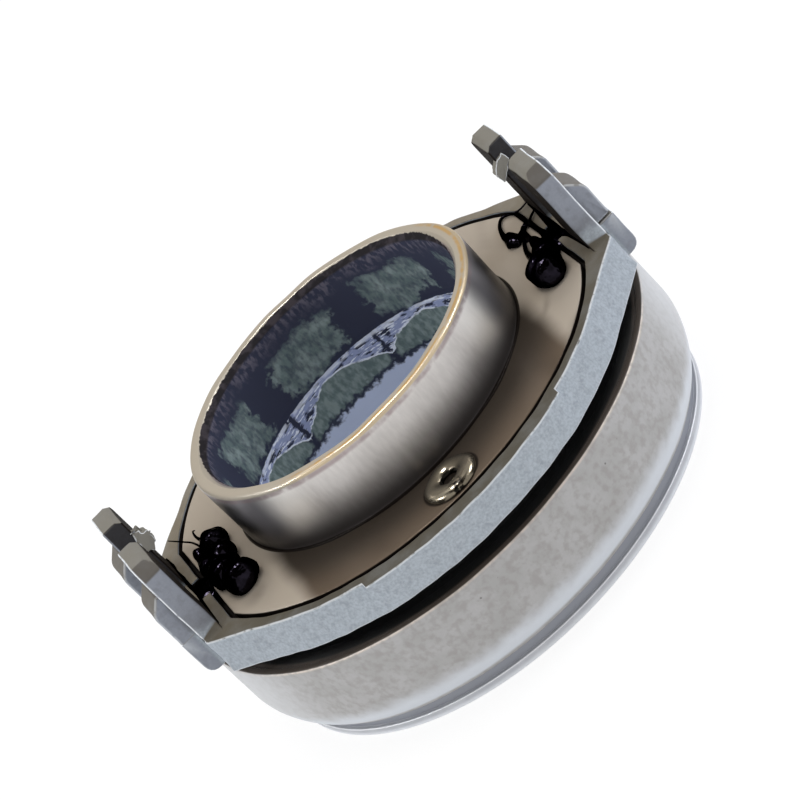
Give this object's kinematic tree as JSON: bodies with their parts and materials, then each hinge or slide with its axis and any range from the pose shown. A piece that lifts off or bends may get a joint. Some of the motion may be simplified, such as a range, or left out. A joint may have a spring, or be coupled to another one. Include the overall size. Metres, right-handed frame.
{
  "type": "clutch release bearing",
  "caption": "Clutch release bearing: guide sleeve in a cast carrier with two forked ears, over a floating ball bearing whose turning outer ring ends in a flat thrust ring.",
  "frame": {"origin": "on the bore axis, in the plane of the thrust face", "axes": "+Z along the bore from the thrust face towards the sleeve rim, X through both forked ears"},
  "size_m": [0.0636, 0.0616, 0.0304],
  "materials": {
    "cast_alloy": "grainy die cast",
    "sleeve_steel": "satin drawn steel",
    "rivet_steel": "bright rolled",
    "spring_steel": "dark oiled",
    "race_steel": "ground",
    "cage_nylon": "moulded",
    "shell_steel": "blasted, slightly pitted",
    "thrust_steel": "ground",
    "seal_rubber": "matte",
    "ball_steel": "polished",
    "grease": "wet gloss"
  },
  "bodies": {
    "carrier": {"carrier": "cast_alloy", "guide_sleeve": "sleeve_steel", "sleeve_rivets": "rivet_steel", "retaining_washer": "race_steel", "snap_ring": "spring_steel", "grease_dab_left": "grease", "grease_dab_right": "grease"},
    "float_spring": {"wave_spring": "spring_steel"},
    "inner_race": {"inner_ring": "race_steel"},
    "cage": {"ball_cage": "cage_nylon", "ball_01": "ball_steel", "ball_02": "ball_steel", "ball_03": "ball_steel", "ball_04": "ball_steel", "ball_05": "ball_steel", "ball_06": "ball_steel", "ball_07": "ball_steel", "ball_08": "ball_steel", "ball_09": "ball_steel", "ball_10": "ball_steel", "ball_11": "ball_steel", "ball_12": "ball_steel", "ball_13": "ball_steel", "ball_14": "ball_steel", "ball_15": "ball_steel", "ball_16": "ball_steel", "ball_17": "ball_steel", "ball_18": "ball_steel"},
    "outer_race": {"outer_ring": "shell_steel", "thrust_ring": "thrust_steel", "upper_seal": "seal_rubber", "lower_seal": "seal_rubber"}
  },
  "joints": [
    {"name": "float_x", "type": "slide", "parent": "carrier", "child": "float_spring", "axis": [1, 0, 0], "range_m": [-0.0007, 0.0007]},
    {"name": "float_y", "type": "slide", "parent": "float_spring", "child": "inner_race", "axis": [0, 1, 0], "range_m": [-0.0007, 0.0007]},
    {"name": "outer_ring_spin", "type": "hinge", "parent": "inner_race", "child": "outer_race", "pos_m": [0, 0, 0], "axis": [0, 0, 1], "continuous": true},
    {"name": "cage_spin", "type": "hinge", "parent": "inner_race", "child": "cage", "pos_m": [0, 0, 0], "axis": [0, 0, 1], "continuous": true}
  ],
  "couplings": [
    {"joint": "cage_spin", "follows": "outer_ring_spin", "ratio": 0.5444}
  ]
}
